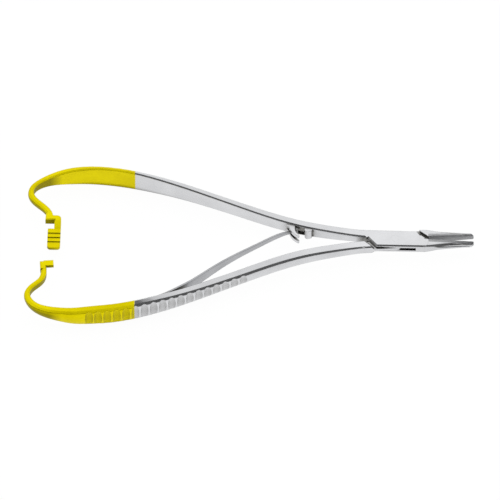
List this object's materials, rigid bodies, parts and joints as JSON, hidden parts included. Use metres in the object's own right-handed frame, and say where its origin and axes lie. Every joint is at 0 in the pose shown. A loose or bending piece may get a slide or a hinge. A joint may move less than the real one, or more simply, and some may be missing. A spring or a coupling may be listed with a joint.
{
  "type": "surgical needle holder",
  "caption": "Box-lock needle holder with strip handles curled in at the ends, ratchet, leaf spring and hard jaw inserts.",
  "frame": {"origin": "on the pivot axis, at the flat underside of the box lock", "axes": "+X along the instrument to the jaw tips, +Z along the pivot axis, up from the table, +Y to the handle with the ratchet rack"},
  "size_m": [0.1674, 0.0728, 0.0098],
  "materials": {
    "arm_steel": "satin, with yellow plating on the rear part of both handles",
    "pin_steel": "satin",
    "spring_steel": "satin",
    "hard_metal": "matt dark, cross-cut"
  },
  "bodies": {
    "female_side": {"female_arm": "arm_steel", "pivot_pin": "pin_steel", "female_jaw_insert": "hard_metal"},
    "male_side": {"male_arm": "arm_steel", "male_jaw_insert": "hard_metal", "spring_rivet": "pin_steel"},
    "spring": {"leaf_spring": "spring_steel"}
  },
  "joints": [
    {"name": "box_lock", "type": "hinge", "parent": "female_side", "child": "male_side", "pos_m": [0, 0, 0.0019], "axis": [0, 0, -1], "range_deg": [0, 5], "stiffness_Nm_per_rad": 0.35, "springref_deg": -12.61},
    {"name": "spring_flex", "type": "hinge", "parent": "male_side", "child": "spring", "pos_m": [-0.08623, -0.03093, 0.0019], "axis": [0, 0, -1], "range_deg": [0, 4], "deforming": ["leaf_spring"]}
  ],
  "couplings": [
    {"joint": "spring_flex", "follows": "box_lock", "ratio": 0.77}
  ]
}
